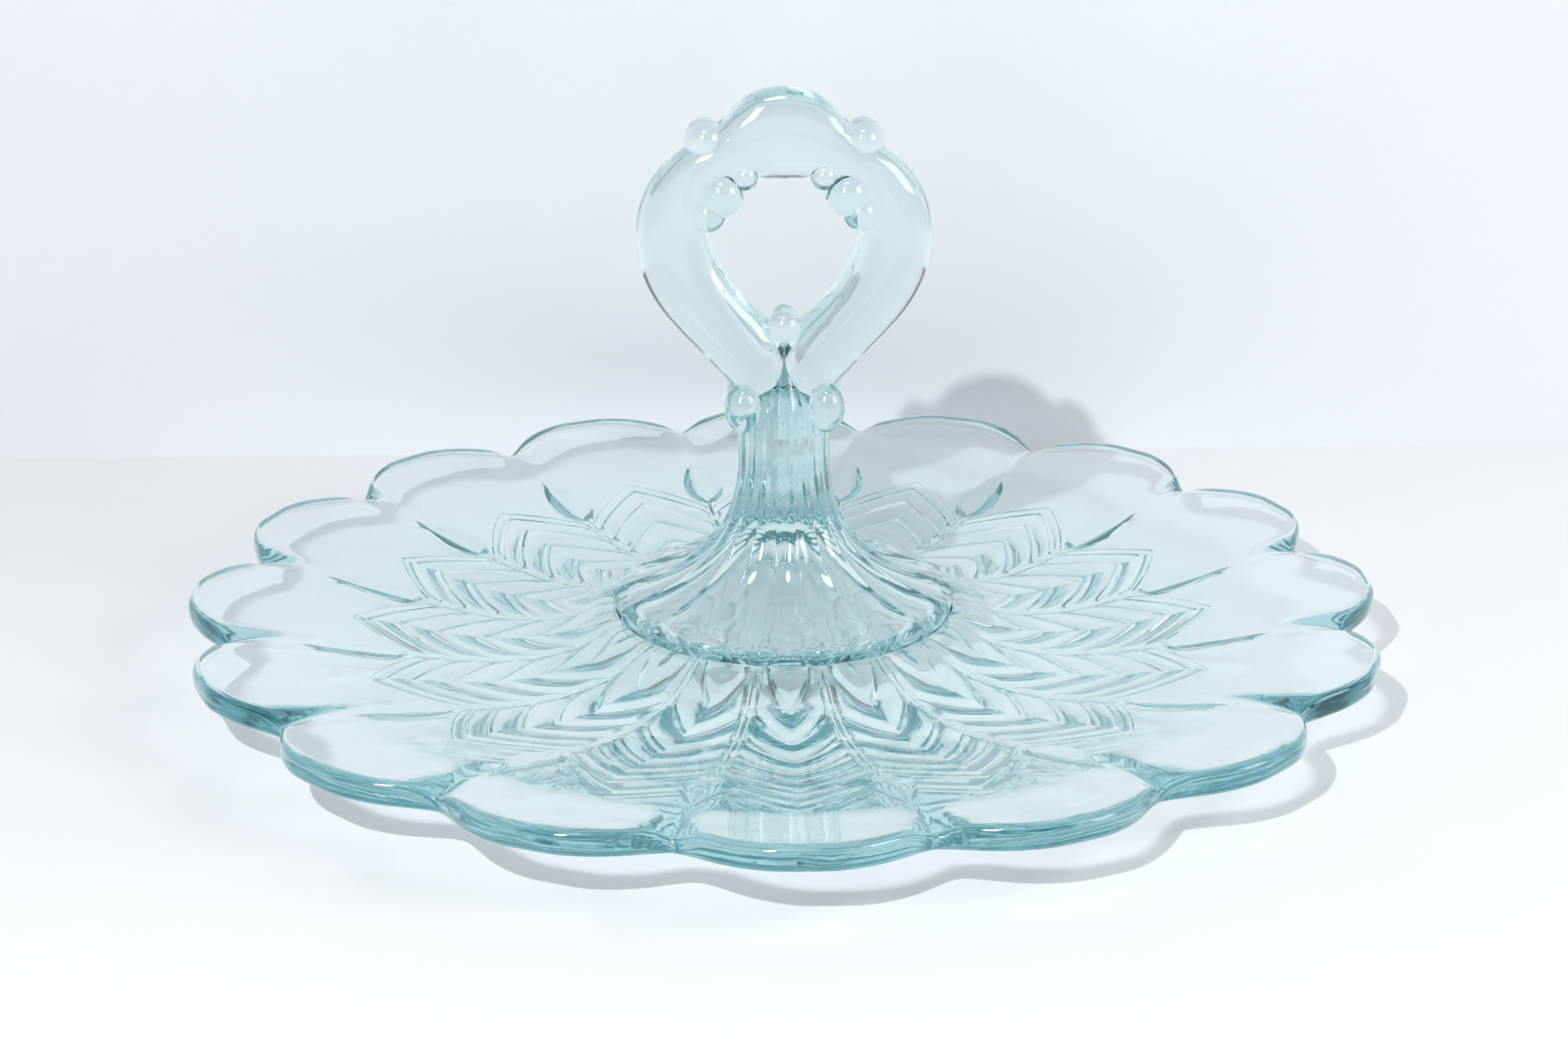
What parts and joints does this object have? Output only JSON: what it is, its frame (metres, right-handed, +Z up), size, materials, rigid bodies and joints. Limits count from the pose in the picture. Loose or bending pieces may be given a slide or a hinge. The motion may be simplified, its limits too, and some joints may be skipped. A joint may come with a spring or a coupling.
{
  "type": "centre-handled serving tray",
  "caption": "Round shallow pressed-glass serving tray with a scalloped rim, a hollow fluted bell on its middle and an upright beaded finger ring to carry it by.",
  "frame": {"origin": "on the table, on the tray's axis", "axes": "+Z up along the stem, +X along the finger ring's width, -Y to the front, through the finger hole"},
  "size_m": [0.27, 0.27, 0.1311],
  "materials": {
    "ice_blue_glass": "fire-polished pressed glass, pale ice blue, teal where it is thick",
    "clear_cement": "clear cement, glossy"
  },
  "bodies": {
    "root": {"tray_plate": "ice_blue_glass", "bell_pedestal": "ice_blue_glass", "ring_handle": "ice_blue_glass", "foot_bond": "clear_cement"}
  },
  "joints": []
}
